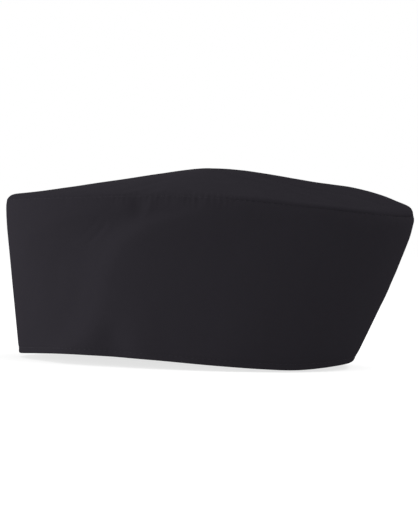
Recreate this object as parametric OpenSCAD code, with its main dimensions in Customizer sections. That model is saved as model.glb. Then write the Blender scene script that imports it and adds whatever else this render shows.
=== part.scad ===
// Chef's skull cap: a stiffened side wall, a soft oval crown tip, and a full-height
// back slit whose two ends overlap and close with hook-and-loop tape.
// Frame: +Z up, -Y is the wearer's front, +Y the back, +X the wearer's left.
// Origin: middle of the footprint, on the plane the rim rests on. Millimetres.

/* [Rim] */
// Length of the rim opening, front to back
rim_length = 186.4; // [176:0.2:196]
// Width of the rim opening, side to side
rim_width = 160; // [152:0.5:168]
// How far the rim's middle sits forward of the crown seam's middle
rim_forward = 9.9; // [6:0.1:13]
// How much wider the rim is at the back than an even oval, as a share
rim_egg = 0.08; // [0:0.01:0.1]

/* [Crown] */
// Length of the crown seam, front to back
seam_length = 224.8; // [218:0.2:232]
// Width of the crown seam, side to side
seam_width = 165; // [158:0.5:172]
// How much wider the crown seam is at the back, as a share
seam_egg = 0.02; // [0:0.01:0.04]
// Height of the crown seam above the rim, midway between front and back
seam_height = 85.5; // [80:0.5:92]
// How much lower the crown seam is at the back than in the middle
seam_drop = 1.1; // [0:0.1:3]
// How much the crown seam rises at the two sides
seam_hump = 4.5; // [0:0.25:5.5]
// Height of the top of the crown above the rim
crown_height = 105.9; // [98:0.1:112]
// Height over which the wall rolls in to the crown seam
roll_height = 6.5; // [5:0.5:8]
// How far the wall rolls in to the crown seam
roll_depth = 1.4; // [1:0.1:2]

/* [Fabric] */
// Thickness of the outer twill
twill = 0.6; // [0.4:0.05:0.7]
// Thickness of the stiffener between the wall's two layers
stiffener = 0.3; // [0.2:0.05:0.35]
// Height of the sweatband
band_height = 32; // [26:1:38]
// Thickness of the folded sweatband
band_thick = 1; // [0.6:0.1:1.2]

/* [Closure] */
// Height of the hook and loop tapes
tape_height = 25; // [20:1:28]
// Height of the lower edge of the tapes above the rim
tape_low = 5; // [3:0.5:8]
// How far the over flap stands proud where it laps the under flap
lap_out = 1.5; // [1.4:0.05:1.8]
// How far the under flap is pressed in where it is lapped
lap_in = 2.5; // [2.4:0.05:2.8]

/* [Stitching] */
// Distance from one stitch to the next
stitch_pitch = 3.8; // [3.6:0.1:6]
// Length of one visible stitch
stitch_len = 2.8; // [2:0.1:3]
// Radius of the thread
thread_r = 0.22; // [0.15:0.01:0.3]

/* [Care label] */
// Width of the folded care label
label_w = 24; // [18:1:28]
// Length of the care label below its stitched edge
label_l = 34; // [26:1:38]

/* [Hidden] */

cloth_color = [0.175, 0.165, 0.19];
lining_color = [0.15, 0.145, 0.165];
stiffener_color = [0.3, 0.3, 0.32];
thread_color = [0.2, 0.19, 0.215];
tape_color = [0.09, 0.09, 0.1];
label_color = [0.86, 0.86, 0.84];

// Offsets are measured outwards from the wall's outer face, so inner layers are negative.
gap = 0.1;                                  // air between the wall's layers
lining_out = -twill - stiffener - 2 * gap;  // outer face of the wall lining
wall_in = lining_out - twill;               // inner face of the wall lining
under_in = -2 * twill - gap;                // inner face of the under flap's lining
over_gap = 0.1;                             // air between the over flap's layers
over_stiffener = 0.2;                       // thickness of the over flap's stiffener
over_lining_out = -twill - over_stiffener - 2 * over_gap;
over_in = over_lining_out - (twill - 0.1);  // its lining is 0.1 thinner than the twill
tape_air = 0.2;                             // air on each side of a tape
// each tape takes half of what the lap leaves between the flaps
tape_thick = (lap_out + lap_in + over_in - 3 * tape_air) / 2;
band_out = wall_in - 0.45;                  // outer face of the sweatband
stitch_off = thread_r + 0.15;               // from a face to the middle of its thread

function lerp(a, b, t) = a + (b - a) * t;
function spread(from, to, count) = [for (i = [0:count]) lerp(from, to, i / count)];
function smooth(x) = let (t = max(0, min(1, x))) t * t * (3 - 2 * t);

// ---- ovals and the wall's surface ----
// phi is 0 at the front, 90 at the wearer's left, 180 at the back.
function oval(phi, length, width, forward, egg) =
  [width / 2 * sin(phi) * (1 - egg * cos(phi)), -forward - length / 2 * cos(phi)];
function rim_xy(phi) = oval(phi, rim_length, rim_width, rim_forward, rim_egg);
function seam_xy(phi) = oval(phi, seam_length, seam_width, 0, seam_egg);
function seam_z(phi) =
  seam_height + seam_drop * cos(phi) + seam_hump * pow(sin(phi), 2);
function roll_z(phi) = seam_z(phi) - roll_height;
// outward normal of the crown seam's oval
function outward(phi) =
  let (dx = seam_width / 2
         * (cos(phi) * (1 - seam_egg * cos(phi)) + seam_egg * pow(sin(phi), 2)),
       dy = seam_length / 2 * sin(phi))
  [dy, -dx] / norm([dx, dy]);
// A point on the wall. s runs from 0 at the rim to 1 where the roll starts and 2 at the seam.
// dz lifts the point.
function wall(phi, s, offset = 0, dz = 0) =
  let (normal = outward(phi), bulge = seam_xy(phi) + roll_depth * normal)
  s <= 1
    ? let (p = lerp(rim_xy(phi), bulge, s) + offset * normal)
      [p[0], p[1], s * roll_z(phi) + dz]
    : let (turn = (s - 1) * 90,
           p = bulge + (offset - roll_depth * (1 - cos(turn))) * normal)
      [p[0], p[1], roll_z(phi) + roll_height * sin(turn) + dz];
// s at height z, for z up to the start of the roll
function s_at(phi, z) = z / roll_z(phi);

// ---- the back slit ----
slit_top = 0.9;          // s at the top of the slit
join_s = 0.935;          // above this the wall's two ends meet edge to edge
join_phi = 183;          // where they meet
join_gap = 0.03;         // degrees from there to each end
// phi of each flap's root and free edge: [at the rim, at the top of the slit]
over_root_phi = [170, 184];
over_edge_phi = [213, 187];
under_root_phi = [200, 182];
under_edge_phi = [152, 178];
lift_lead = 24;          // the lift starts this many degrees before the over flap's root
lift_span = 16;          // degrees over which it grows to full
press_span = 8;          // the press fades over this, centred on the over flap's edge
fade_s = 0.84;           // both fade out from here to s = 1
front_phi = 60;          // neither acts within this of the front

function up_slit(ends, s) = lerp(ends[0], ends[1], s / slit_top);
function over_root(s) = s >= join_s ? join_phi - join_gap : up_slit(over_root_phi, s);
function under_root(s) = s >= join_s ? join_phi + join_gap : up_slit(under_root_phi, s);
function over_edge(s) = up_slit(over_edge_phi, s);
function under_edge(s) = up_slit(under_edge_phi, s);
function fade(s) = 1 - smooth((s - fade_s) / (1 - fade_s));
function lift(phi, s) =
  lap_out * smooth((phi - over_root(min(s, slit_top)) + lift_lead) / lift_span) * fade(s);
function press(phi, s) =
  -lap_in * smooth((over_edge(min(s, slit_top)) - phi) / press_span + 0.5) * fade(s);
function flap_shift(over, phi, s) = over ? lift(phi, s) : press(phi, s);
// the main wall's phi runs from the under flap's root, taken as negative, to the over flap's
function main_phi(u, s) = lerp(under_root(s) - 360, over_root(s), u);
function main_shift(phi, s) =
  phi > front_phi ? lift(phi, s) : phi < -front_phi ? press(phi + 360, s) : 0;

// ---- closed shells from two grids of points ----
// A grid's columns run round the wall with phi, its rows upwards.
function quad(a, b, c, d) = [[a, b, c], [a, c, d]];
// index of a point in the outer grid (side 0) or the inner grid (side 1)
function vertex(side, i, j, columns, rows) = (side * columns + i % columns) * rows + j;
// both faces, and the edge that joins their first rows
function skin_faces(columns, rows, last) =
  let (out = function_free_grid(0, columns, rows, last),
       in = function_free_grid(1, columns, rows, last))
  [for (i = [0:last]) each concat(
    [for (j = [0:rows - 2]) each
      quad(out[i][j], out[i][j + 1], out[i + 1][j + 1], out[i + 1][j])],
    [for (j = [0:rows - 2]) each
      quad(in[i][j], in[i + 1][j], in[i + 1][j + 1], in[i][j + 1])],
    quad(out[i][0], out[i + 1][0], in[i + 1][0], in[i][0]))];
// table of point indices, with the column after the last one included
function function_free_grid(side, columns, rows, last) =
  [for (i = [0:last + 1]) [for (j = [0:rows - 1]) vertex(side, i, j, columns, rows)]];
module shell(outer, inner, closed = false) {
  columns = len(outer);
  rows = len(outer[0]);
  last = closed ? columns - 1 : columns - 2;
  top = rows - 1;
  end = columns - 1;
  function out(i, j) = vertex(0, i, j, columns, rows);
  function in(i, j) = vertex(1, i, j, columns, rows);
  polyhedron(
    points = [for (grid = [outer, inner]) for (column = grid) each column],
    faces = concat(
      skin_faces(columns, rows, last),
      [for (i = [0:last]) each quad(out(i, top), in(i, top), in(i + 1, top), out(i + 1, top))],
      closed ? [] : [for (j = [0:rows - 2]) each concat(
        quad(out(0, j), in(0, j), in(0, j + 1), out(0, j + 1)),
        quad(out(end, j), out(end, j + 1), in(end, j + 1), in(end, j)))]));
}

// ---- layers of cloth ----
// A layer lies between two offsets over a grid of stations [phi, s, shift outwards].
function face(stations, offset) =
  [for (column = stations) [for (at = column) wall(at[0], at[1], offset + at[2])]];
module layer(stations, outer, inner) {
  shell(face(stations, outer), face(stations, inner));
}
steps = 72; // columns round the wall
// the main wall; trim shortens it at both ends, as a share of its length
function main_stations(levels, trim = 0) =
  [for (share = spread(0, 1, steps)) let (u = max(trim, min(1 - trim, share)))
    [for (s = levels) let (phi = main_phi(u, s)) [phi, s, main_shift(phi, s)]]];
// a flap between two shares of its width, counted in the direction of phi
root_gap = 0.25; // degrees between a flap and the main wall
function flap_phi(over, u, s) = over
  ? lerp(over_root(s) + root_gap, over_edge(s), u)
  : lerp(under_edge(s), under_root(s) - root_gap, u);
function flap_stations(over, levels, from = 0, to = 1) =
  [for (u = spread(from, to, 12)) [for (s = levels)
    let (phi = flap_phi(over, u, s)) [phi, s, flap_shift(over, phi, s)]]];
// a tape between two angles
function tape_stations(over, phis) =
  [for (phi = spread(phis[0], phis[1], 8))
    [for (z = spread(tape_low, tape_low + tape_height, 2))
      let (s = s_at(phi, z)) [phi, s, flap_shift(over, phi, s)]]];

// ---- stitches: short lengths of thread laid along a path of points ----
// a bar of thread midway between two points, in line with them
module thread_bar(from, to, length) {
  along = to - from;
  translate((from + to) / 2)
    rotate([0, acos(along[2] / norm(along)), atan2(along[1], along[0])])
      cylinder(h = length, r = thread_r, center = true, $fn = 16);
}
// stitches at an even pitch along a list of points
module stitch_run(path) {
  aim = 0.5; // each stitch takes its direction from the path this far either side
  lengths = [for (i = [0:len(path) - 2]) norm(path[i + 1] - path[i])];
  reached = [for (i = 0, sum = 0; i <= len(lengths);
    sum = sum + (i < len(lengths) ? lengths[i] : 0), i = i + 1) sum];
  total = reached[len(lengths)];
  count = floor(total / stitch_pitch);
  pitch = total / count;
  function point_at(d) =
    let (i = max([for (k = [0:len(lengths) - 1]) reached[k] <= d ? k : 0]))
    lerp(path[i], path[i + 1], min(1, (d - reached[i]) / lengths[i]));
  for (k = [0:count - 1]) let (middle = (k + 0.5) * pitch)
    thread_bar(point_at(middle - aim), point_at(middle + aim), stitch_len);
}

// ---- crown ----
tip_rings = [1, 0.94, 0.84, 0.68, 0.5, 0.32, 0.16, 0.05]; // shares of the way out to the seam
tip_middle = [0, -1.2];
tip_gap = 0.1; // air between the wall's top and the tip's edge
// fall from the top at a share of the way out: a cone with a rounded point, 1 at the seam
function peak(share) = (sqrt(share * share + 0.01) - 0.1) / 0.905;
// height as a share: the cone at the front, a fuller curve at the back
function dome(share, phi) =
  lerp(1 - peak(share), 1 - 0.5 * peak(share) - 0.5 * pow(share, 6), (1 - cos(phi)) / 2);
function tip_point(share, phi, lowered) =
  let (p = lerp(tip_middle, seam_xy(phi), share), edge_z = seam_z(phi) + twill + tip_gap)
  [p[0], p[1], lerp(edge_z, crown_height, dome(share, phi)) - lowered];
module crown_tip() {
  rings = len(tip_rings);
  top = 2 * steps * rings; // index of the top's middle point; the underside's follows
  function ring_end(side, i) = vertex(side, i, rings - 1, steps, rings);
  color(cloth_color) polyhedron(
    points = concat(
      [for (lowered = [0, twill]) for (i = [0:steps - 1]) for (share = tip_rings)
        tip_point(share, i * 360 / steps, lowered)],
      [for (lowered = [0, twill]) [tip_middle[0], tip_middle[1], crown_height - lowered]]),
    faces = concat(
      skin_faces(steps, rings, steps - 1),
      [for (i = [0:steps - 1]) each
        [[ring_end(0, i), top, ring_end(0, i + 1)],
         [ring_end(1, i), ring_end(1, i + 1), top + 1]]]));
}
// the overlocked seam allowance that stands down inside, round the crown
module crown_seam_allowance() {
  outer = -roll_depth - twill - 0.8;
  thick = 1.1;
  below_seam = [-8.5, -1.2];
  color(lining_color) shell(
    allowance_grid(outer, below_seam), allowance_grid(outer - thick, below_seam),
    closed = true);
}
function allowance_grid(offset, below_seam) =
  [for (i = [0:steps - 1]) [for (z = below_seam)
    let (phi = 360 * i / steps, p = wall(phi, 1, offset)) [p[0], p[1], seam_z(phi) + z]]];
module crown_topstitch() {
  color(thread_color) stitch_run([for (phi = spread(0, 360, 180)) wall(phi, 1.6, stitch_off)]);
}

// ---- side wall ----
mid_levels = [0.3, 0.6, slit_top, join_s, 0.975];
inner_levels = [0.012, each mid_levels]; // for the layers inside the outer twill
// the outer twill: rolls in to the crown seam and turns under at the rim
module side_wall() {
  lip_height = 0.6; // height of the turned-under lip
  // above the lip: [s, lift of the inner face]
  levels = [for (s = mid_levels) [s, 0], [1, 0], [1.5, -0.1], [2, -0.4]];
  function grid(lip_z, thick, lifted) =
    [for (u = spread(0, 1, steps)) let (rim_phi = main_phi(u, 0)) concat(
      [for (offset = [wall_in, -thick])
        wall(rim_phi, s_at(rim_phi, lip_z), main_shift(rim_phi, 0) + offset)],
      [for (level = levels) let (s = level[0], phi = main_phi(u, s))
        wall(phi, s, main_shift(phi, s) - thick, lifted * level[1])])];
  color(cloth_color) shell(grid(0, 0, 0), grid(lip_height, twill, 1));
}
module wall_stiffener() {
  color(stiffener_color)
    layer(main_stations(inner_levels), -twill - gap, -twill - gap - stiffener);
}
module wall_lining() {
  color(lining_color) layer(main_stations(inner_levels, trim = 0.0005), lining_out, wall_in);
}
rim_stitch_s = 0.04; // s of the stitching along the rim
module rim_topstitch() {
  // starts 5 degrees clear of the over flap's free edge
  color(thread_color) stitch_run(
    [for (phi = spread(over_edge(0) + 5 - 360, over_root(rim_stitch_s) - 0.8, 150))
      wall(phi, rim_stitch_s, main_shift(phi, rim_stitch_s) + stitch_off)]);
}

// ---- sweatband ----
band_end = 144; // it stops this many degrees round each way, clear of the flaps
module sweatband() {
  low_s = 0.014;
  color(lining_color) layer(
    [for (phi = spread(-band_end, band_end, 60))
      [for (s = [low_s, s_at(phi, band_height)]) [phi, s, 0]]],
    band_out, band_out - band_thick);
}
module sweatband_stitching() {
  end = band_end - 1.5;
  offset = band_out - band_thick - thread_r - 0.2;
  color(thread_color) for (z = [3.2, band_height - 2.5])
    stitch_run([for (phi = spread(-end, end, 120)) wall(phi, s_at(phi, z), offset)]);
}

// ---- flaps ----
flap_levels = spread(0, slit_top, 8);
// for the layers inside, which stop short at both ends
flap_inner_levels = [0.01, for (i = [1:7]) flap_levels[i], slit_top - 0.01];
// a run down the free edge, then one along the rim between two angles
module flap_topstitch(over, offset, from_edge, rim_phis) {
  function point(phi, s) = wall(phi, s, flap_shift(over, phi, s) + offset);
  color(thread_color) {
    stitch_run([for (s = spread(0.86, 0.045, 20))
      point((over ? over_edge(s) : under_edge(s)) + from_edge, s)]);
    stitch_run([for (phi = spread(rim_phis[0], rim_phis[1], 20)) point(phi, rim_stitch_s)]);
  }
}
module over_flap() {
  color(cloth_color) layer(flap_stations(true, flap_levels), 0, -twill);
}
module over_flap_stiffener() {
  outer = -twill - over_gap;
  color(stiffener_color)
    layer(flap_stations(true, flap_inner_levels, 0.03, 0.95), outer, outer - over_stiffener);
}
module over_flap_lining() {
  color(lining_color)
    layer(flap_stations(true, flap_inner_levels, 0.005, 0.985), over_lining_out, over_in);
}
module over_flap_topstitch() {
  flap_topstitch(true, stitch_off, from_edge = -2.2,
    rim_phis = [over_root(rim_stitch_s) + 1.4, over_edge(rim_stitch_s) - 4]);
}
module under_flap() {
  color(cloth_color) layer(flap_stations(false, flap_levels), 0, -twill);
}
module under_flap_lining() {
  color(lining_color)
    layer(flap_stations(false, flap_inner_levels, 0.015, 0.995), -twill - gap, under_in);
}
module under_flap_topstitch() {
  flap_topstitch(false, under_in - stitch_off, from_edge = 2.6,
    rim_phis = [under_edge(rim_stitch_s) + 4.4, under_root(rim_stitch_s) - 2]);
}

// ---- tapes ----
hook_phi = [177, 198];
loop_phi = [166.5, 190];
// a stitched rectangle just inside a tape's edge, laid at the given offset
module tape_stitching(over, offset, phis) {
  inset_z = 2;
  inset_phi = 1.3;
  // keep the four runs clear of each other at the corners
  corner_z = 1;
  corner_phi = 0.5;
  sides = [phis[0] + inset_phi, phis[1] - inset_phi];
  heights = [tape_low + inset_z, tape_low + tape_height - inset_z];
  function point(phi, z) =
    let (s = s_at(phi, z)) wall(phi, s, offset + flap_shift(over, phi, s));
  color(thread_color) {
    for (z = heights)
      stitch_run([for (phi = spread(sides[0] + corner_phi, sides[1] - corner_phi, 12))
        point(phi, z)]);
    for (phi = sides)
      stitch_run([for (z = spread(heights[0] + corner_z, heights[1] - corner_z, 6))
        point(phi, z)]);
  }
}
module hook_tape() {
  outer = over_in - tape_air;
  color(tape_color) layer(tape_stations(true, hook_phi), outer, outer - tape_thick);
}
module hook_tape_stitching() {
  tape_stitching(true, stitch_off, hook_phi);
}
module loop_tape() {
  color(tape_color) layer(tape_stations(false, loop_phi), tape_air + tape_thick, tape_air);
}
module loop_tape_stitching() {
  tape_stitching(false, under_in - stitch_off, loop_phi);
}
// short bars of thread laid side by side over the join, just above the slit
module slit_bartack() {
  offset = 0.55;
  bar_step = 0.5; // degrees
  color(thread_color) for (i = [-3:3])
    let (phi = join_phi + bar_step * i,
         low = wall(phi, 0.962, offset), high = wall(phi, 0.995, offset))
      thread_bar(low, high, norm(high - low));
}

// ---- care label: folded, stitched along its top edge inside the wearer's right ----
label_phi = 262;
label_top = 70;    // height of its stitched edge
label_thick = 0.5;
// local frame on the stitched edge: x along the wall, y inwards, z up the wall
module label_place() {
  function edge_point(z) = wall(label_phi, s_at(label_phi, z), wall_in - 1.1);
  normal = outward(label_phi);
  top = edge_point(label_top);
  drop = top - edge_point(label_top - label_l);
  up = drop / norm(drop);
  multmatrix([[-normal[1], -normal[0], up[0], top[0]],
              [normal[0], -normal[1], up[1], top[1]],
              [0, 0, up[2], top[2]],
              [0, 0, 0, 1]])
    children();
}
module label_piece(low, height) {
  color(label_color) label_place()
    translate([-label_w / 2, 0, low]) cube([label_w, label_thick, height]);
}
// the strip above the fold, sewn down flat
module care_label_edge() {
  label_piece(low = 0.1, height = 3.4);
}
// the part that hangs free
module care_label() {
  label_piece(low = -label_l, height = label_l);
}
module care_label_stitching() {
  color(thread_color) label_place()
    for (i = [-2:2])
      translate([i * stitch_pitch, label_thick + thread_r + 0.1, 1.2]) rotate([0, 90, 0])
        cylinder(h = stitch_len, r = thread_r, center = true, $fn = 16);
}

crown_tip();
side_wall();
wall_stiffener();
wall_lining();
crown_seam_allowance();
crown_topstitch();
rim_topstitch();
sweatband();
sweatband_stitching();
over_flap();
over_flap_stiffener();
over_flap_lining();
over_flap_topstitch();
hook_tape();
hook_tape_stitching();
under_flap();
under_flap_lining();
under_flap_topstitch();
loop_tape();
loop_tape_stitching();
slit_bartack();
care_label_edge();
care_label();
care_label_stitching();
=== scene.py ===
"""A soft brimless cloth cap with a slit at the back, closed by hook and loop tapes on two flaps.

The cap stands upright with its rim near z = 0. Its front faces -Y, its back +Y, and +X is the
wearer's left. Shapes are worked out in millimetres and turned into metres as meshes are made.

A place on the wall is (phi, s). phi is in degrees round the cap: 0 at the front, 90 at the
wearer's left, 180 at the back. s is 0 at the rim, 1 where the wall starts to roll in and 2 at
the crown seam. "off" is a distance outwards from the wall's outer face.
"""
import math

import bmesh
import bpy
import numpy as np
from mathutils import Matrix, Vector


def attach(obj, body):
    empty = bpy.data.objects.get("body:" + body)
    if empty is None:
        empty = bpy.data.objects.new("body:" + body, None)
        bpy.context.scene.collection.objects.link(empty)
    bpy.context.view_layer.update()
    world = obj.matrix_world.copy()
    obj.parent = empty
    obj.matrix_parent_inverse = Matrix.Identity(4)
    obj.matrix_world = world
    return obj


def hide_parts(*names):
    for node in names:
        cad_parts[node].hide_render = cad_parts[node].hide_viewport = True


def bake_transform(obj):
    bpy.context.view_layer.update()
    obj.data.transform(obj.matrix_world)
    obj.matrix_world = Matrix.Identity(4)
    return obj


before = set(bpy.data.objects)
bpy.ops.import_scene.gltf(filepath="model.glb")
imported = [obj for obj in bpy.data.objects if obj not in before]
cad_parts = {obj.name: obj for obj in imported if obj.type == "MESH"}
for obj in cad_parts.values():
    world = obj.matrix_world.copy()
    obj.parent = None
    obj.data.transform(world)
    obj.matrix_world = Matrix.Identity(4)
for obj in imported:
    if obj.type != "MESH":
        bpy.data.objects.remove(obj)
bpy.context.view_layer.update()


MM = 0.001  # metres

# ---------------------------------------------------------------- driving sizes, in mm
# egg-shaped outlines seen from above; taper narrows the front and widens the back
RIM = dict(half_length=93.2, half_width=80.0, centre_y=-9.9, taper=0.08)
SEAM = dict(half_length=112.4, half_width=82.5, centre_y=0.0, taper=0.02)
SEAM_H, SEAM_FRONT_RISE, SEAM_SIDE_RISE = 85.5, 1.1, 4.5
ROLL_H, ROLL_DEPTH = 6.5, 1.4  # the wall's rolled top: height, and how far it bulges
CROWN_H = 105.9
WALL_H = 80.0  # nominal height of s = 1, used to turn mm into s
TWILL = 0.6  # thickness of the outer cloth
OUTSTEP, INSTEP = 1.5, 2.5  # the over flap stands out and the under flap in by these
SLIT = 0.9  # s at the top of the slit
SLIT_PHI = 183.0
HEM_S = 0.04  # height of the stitching round the rim
STITCH_PITCH = 3.0
RIM_GIRTH = 0.885  # cloth length at the rim as a share of that at the crown seam
LOW_GIRTH = 0.9  # the same for the narrow strips low on the wall


# ---------------------------------------------------------------- small maths
def smooth(x):
    c = np.clip(x, 0, 1)
    return c * c * (3 - 2 * c)


def lerp(a, b, share):
    return a + (b - a) * share


def bell(x, width):
    return np.exp(-((x / width) ** 2))


def unit(v):
    return v / np.maximum(np.linalg.norm(v, axis=-1, keepdims=True), 1e-9)


def path_length(points, axis=0):
    """Length run so far at each point of a path."""
    steps = np.linalg.norm(np.diff(points, axis=axis), axis=-1)
    start = np.zeros_like(np.take(steps, [0], axis=axis))
    return np.concatenate([start, np.cumsum(steps, axis=axis)], axis=axis)


def from_front(phi):
    return np.abs(np.mod(phi + 180, 360) - 180)


def from_back(phi):
    return np.abs(np.mod(phi, 360) - 180)


def hermite(t, v0, slope0, v1, slope1):
    return (
        (2 * t**3 - 3 * t**2 + 1) * v0
        + (t**3 - 2 * t**2 + t) * slope0
        + (-2 * t**3 + 3 * t**2) * v1
        + (t**3 - t**2) * slope1
    )


def ring(points):
    """A smooth closed curve of value against angle through (angle, value) points."""
    k, v = np.array(points, float).T
    k = np.concatenate([k[-2:] - 360, k, k[:3] + 360])
    v = np.concatenate([v[-2:], v, v[:3]])

    def value(phi):
        x = np.mod(phi, 360.0)
        i = np.clip(np.searchsorted(k, x, side="right") - 1, 1, len(k) - 3)
        span = k[i + 1] - k[i]
        slope0 = (v[i + 1] - v[i - 1]) / (k[i + 1] - k[i - 1]) * span
        slope1 = (v[i + 2] - v[i]) / (k[i + 2] - k[i]) * span
        return hermite((x - k[i]) / span, v[i], slope0, v[i + 1], slope1)

    return value


def curve(points):
    """A smooth curve through (position, value) points, level beyond its ends."""
    k, v = np.array(points, float).T
    slope = np.gradient(v, k)
    slope[0] = slope[-1] = 0

    def value(x):
        x = np.clip(x, k[0], k[-1])
        i = np.clip(np.searchsorted(k, x, side="right") - 1, 0, len(k) - 2)
        span = k[i + 1] - k[i]
        return hermite((x - k[i]) / span, v[i], slope[i] * span, v[i + 1], slope[i + 1] * span)

    return value


def noise(u, v, seed, columns=64):
    """Smooth noise from a seeded lattice, repeating every `columns` by 64 cells."""
    rows = 64
    table = np.random.RandomState(seed).uniform(-1, 1, (columns, rows))
    u, v = np.broadcast_arrays(np.asarray(u, float), np.asarray(v, float))
    iu, iv = np.floor(u).astype(int), np.floor(v).astype(int)

    def weights(f):
        return (
            (1 - f) ** 3 / 6,
            (3 * f**3 - 6 * f**2 + 4) / 6,
            (-3 * f**3 + 3 * f**2 + 3 * f + 1) / 6,
            f**3 / 6,
        )

    wu, wv = weights(u - iu), weights(v - iv)
    total = np.zeros(u.shape)
    for i in range(4):
        for j in range(4):
            total += wu[i] * wv[j] * table[(iu + i - 1) % columns, (iv + j - 1) % rows]
    return total * 2.2  # brings the blended values back to about -1..1


def beside_line(a, b, a0, b0, a1, b1):
    """Share of the way along a line, distance to its side, and its length."""
    va, vb = a1 - a0, b1 - b0
    length = math.hypot(va, vb)
    share = ((a - a0) * va + (b - b0) * vb) / length**2
    across = (-(a - a0) * vb + (b - b0) * va) / length
    return share, across, length


# ---------------------------------------------------------------- rim and crown seam lines
def oval(phi, half_length, half_width, centre_y, taper):
    p = np.radians(phi)
    x = half_width * np.sin(p) * (1 - taper * np.cos(p))
    return np.stack([x, centre_y - half_length * np.cos(p)], -1)


def rim_xy(phi):
    return oval(phi, **RIM)


def seam_xy(phi):
    return oval(phi, **SEAM)


def outward(phi):
    """Level unit vector pointing out of the crown seam's outline."""
    p = np.radians(phi)
    width, taper = SEAM["half_width"], SEAM["taper"]
    tx = width * np.cos(p) * (1 - taper * np.cos(p)) + width * taper * np.sin(p) ** 2
    ty = SEAM["half_length"] * np.sin(p)
    length = np.hypot(tx, ty)
    return np.stack([ty / length, -tx / length], -1)


def seam_z(phi):
    p = np.radians(phi)
    return SEAM_H + SEAM_FRONT_RISE * np.cos(p) + SEAM_SIDE_RISE * np.sin(p) ** 2


# length along the crown seam, measured from the front
ARC_PHI = np.linspace(-360, 720, 6481)
ARC_MM = path_length(seam_xy(ARC_PHI))
ARC_MM -= np.interp(0, ARC_PHI, ARC_MM)
SEAM_LEN = np.interp(360, ARC_PHI, ARC_MM)


def arc(phi):
    return np.interp(phi, ARC_PHI, ARC_MM)


def phi_of_arc(length):
    return np.interp(length, ARC_MM, ARC_PHI)


def seam_gap(difference):
    """The shorter way round between two places on the seam."""
    return np.mod(difference + SEAM_LEN / 2, SEAM_LEN) - SEAM_LEN / 2


# how far the rim and the crown seam wander up and down: (phi, mm)
RIM_WAVE = ring([
    (0, 0.1), (25, 1.7), (50, 3.4), (75, 2.9), (101, 0.7), (116, -0.5), (128, -1.0), (142, 0.0),
    (158, 1.3), (170, 2.0), (185, 1.6), (210, 0.2), (240, -0.8), (270, 0.5), (300, 1.7),
    (330, 1.2),
])
SEAM_WAVE = ring([
    (0, -0.4), (19, -1.3), (44, -1.7), (57, -1.7), (71, -1.1), (84, -0.8), (96, -1.5),
    (104, -1.9), (113, -2.5), (123, -2.5), (136, -2.9), (150, -2.5), (163, -1.5), (180, 0.0),
    (210, -1.1), (240, -0.6), (265, 0.3), (295, -0.9), (330, -1.5),
])


def seam_top(phi):
    return seam_z(phi) + SEAM_WAVE(phi)


def ends(phi):
    """Weight of the front and back ends of the cap, nothing at the sides."""
    p = from_front(phi)
    return smooth((p - 128) / 30) + 0.8 * (1 - smooth((p - 8) / 26))


def roll_h(phi):
    """Height of the rolled top, which is lower at the back."""
    return ROLL_H - 2.6 * (1 - smooth((from_back(phi) - 12) / 30))


def wall_z(phi, s):
    """Height on the even wall, before it wanders."""
    roll = roll_h(phi)
    turned = np.sin(np.radians(np.clip(s - 1, 0, 1) * 90))
    return np.minimum(s, 1) * (seam_z(phi) - roll) + roll * turned


# ---------------------------------------------------------------- wrinkles and folds of the wall
# wrinkles on the wearer's left below the seam: (y, lean, width, length, depth)
LEFT_PUCKERS = [
    (-36.6, -0.1, 4.0, 19, -1.5), (-39.6, 0.0, 1.5, 9, -0.55), (-29.5, -0.35, 2.0, 17, 0.75),
    (-46.5, 0.0, 2.0, 10, 0.3), (-34.0, -0.1, 1.0, 6, 0.35), (-24.5, -0.2, 1.0, 7, -0.3),
    (-53.5, -0.2, 1.0, 6, -0.2), (-57.0, -0.1, 0.9, 6, -0.15), (-20.0, -0.1, 1.0, 7, -0.4),
    (-17.0, -0.1, 0.9, 6, 0.3), (-12.0, -0.1, 1.1, 8, -0.5), (-5.5, 0.0, 1.2, 9, -0.65),
    (-3.2, 0.0, 0.9, 6, 0.35), (1.0, 0.0, 0.9, 6, -0.35), (5.5, 0.1, 1.1, 6, -0.25),
    (-9.0, 0.0, 0.8, 5, 0.25),
]


def scatter_puckers():
    """Short wrinkles down from the seam: (place along it, lean, width, length, depth)."""
    rng = np.random.RandomState(11)
    found = []
    place = 4.0
    while place < SEAM_LEN - 3:
        lean = rng.uniform(-0.5, 0.5)
        width = rng.uniform(1.5, 2.6)
        length = rng.uniform(5, 15)
        depth = -rng.uniform(0.06, 0.3) * (1 if rng.rand() < 0.75 else -1)
        found.append((place, lean, width, length, depth))
        place += rng.uniform(6, 19)
    left = np.linspace(5, 175, 1701)
    left_y = seam_xy(left)[:, 1]
    for y, *shape in LEFT_PUCKERS:
        found.append((float(arc(np.interp(y, left_y, left))), *shape))
    return found


PUCKERS = scatter_puckers()

# thin creases on the wearer's left: (y0, z0) to (y1, z1), half width, height
CREASES = [
    (-54.0, 75, -64.5, 63, 1.5, -0.22), (-51.5, 75, -61.0, 62, 1.8, 0.20),
    (-58.0, 78, -66.5, 69, 1.2, -0.15), (-67.0, 40, -73.0, 22, 4.5, -0.25),
    (-80.0, 60, -84.0, 30, 5.0, -0.22), (14.0, 70, 30.0, 40, 6.0, -0.20),
    (58.0, 66, 48.0, 30, 5.5, 0.22),
]
# the long soft fold on the wearer's left: its y at each height
FOLD_Z = [0, 3, 11, 20, 29, 47, 56, 65, 74, 78, 82, 88]
FOLD_Y = [-77, -74, -63.6, -57, -54.5, -52.5, -49, -44.5, -33, -23, -8, -2]
# relief across that fold: (mm behind it, mm outwards)
PANEL = curve([
    (-62, 0), (-45, -1.0), (-30, -1.7), (-18, -1.1), (-9, 0.5), (-3, 1.9), (2, 2.6), (7, 2.7),
    (16, 2.3), (33, 1.4), (55, 0.4), (72, 0),
])
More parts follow.
